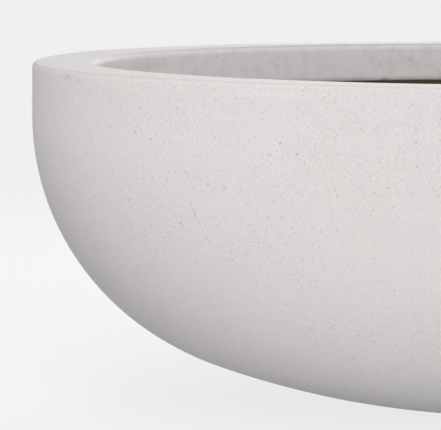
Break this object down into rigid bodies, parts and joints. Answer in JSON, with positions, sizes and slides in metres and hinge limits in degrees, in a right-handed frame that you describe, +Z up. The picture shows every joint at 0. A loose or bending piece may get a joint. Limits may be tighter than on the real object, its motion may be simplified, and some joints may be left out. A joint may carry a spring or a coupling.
{
  "type": "bowl planter",
  "caption": "Shallow round bowl planter of pale speckled reinforced concrete with a wide flat rim, a closed drain hole and rubber feet.",
  "frame": {"origin": "on the floor, under the centre of the bowl", "axes": "+Z up along the bowl's axis; +X to the viewer's right when the bowl is seen from the picture's side, which is -Y"},
  "size_m": [0.61, 0.61, 0.21],
  "materials": {
    "facing_concrete": "cast concrete, fine dark and pale specks, matt",
    "glass_fibre": "open woven glass cloth",
    "backing_cement": "raw trowelled fibre cement, matt",
    "ring_steel": "galvanised rod",
    "plug_rubber": "moulded, satin",
    "pad_rubber": "moulded, matt"
  },
  "bodies": {
    "planter": {"facing_shell": "facing_concrete", "glass_fibre_scrim": "glass_fibre", "backing_shell": "backing_cement", "rim_core": "backing_cement", "rim_ring": "ring_steel", "foot_pad_front_left": "pad_rubber", "foot_pad_front_right": "pad_rubber", "foot_pad_back_right": "pad_rubber", "foot_pad_back_left": "pad_rubber"},
    "drain_plug": {"drain_plug": "plug_rubber"}
  },
  "joints": [
    {"name": "drain_plug_lift", "type": "slide", "parent": "planter", "child": "drain_plug", "axis": [0, 0, 1], "range_m": [0, 0.24]}
  ]
}
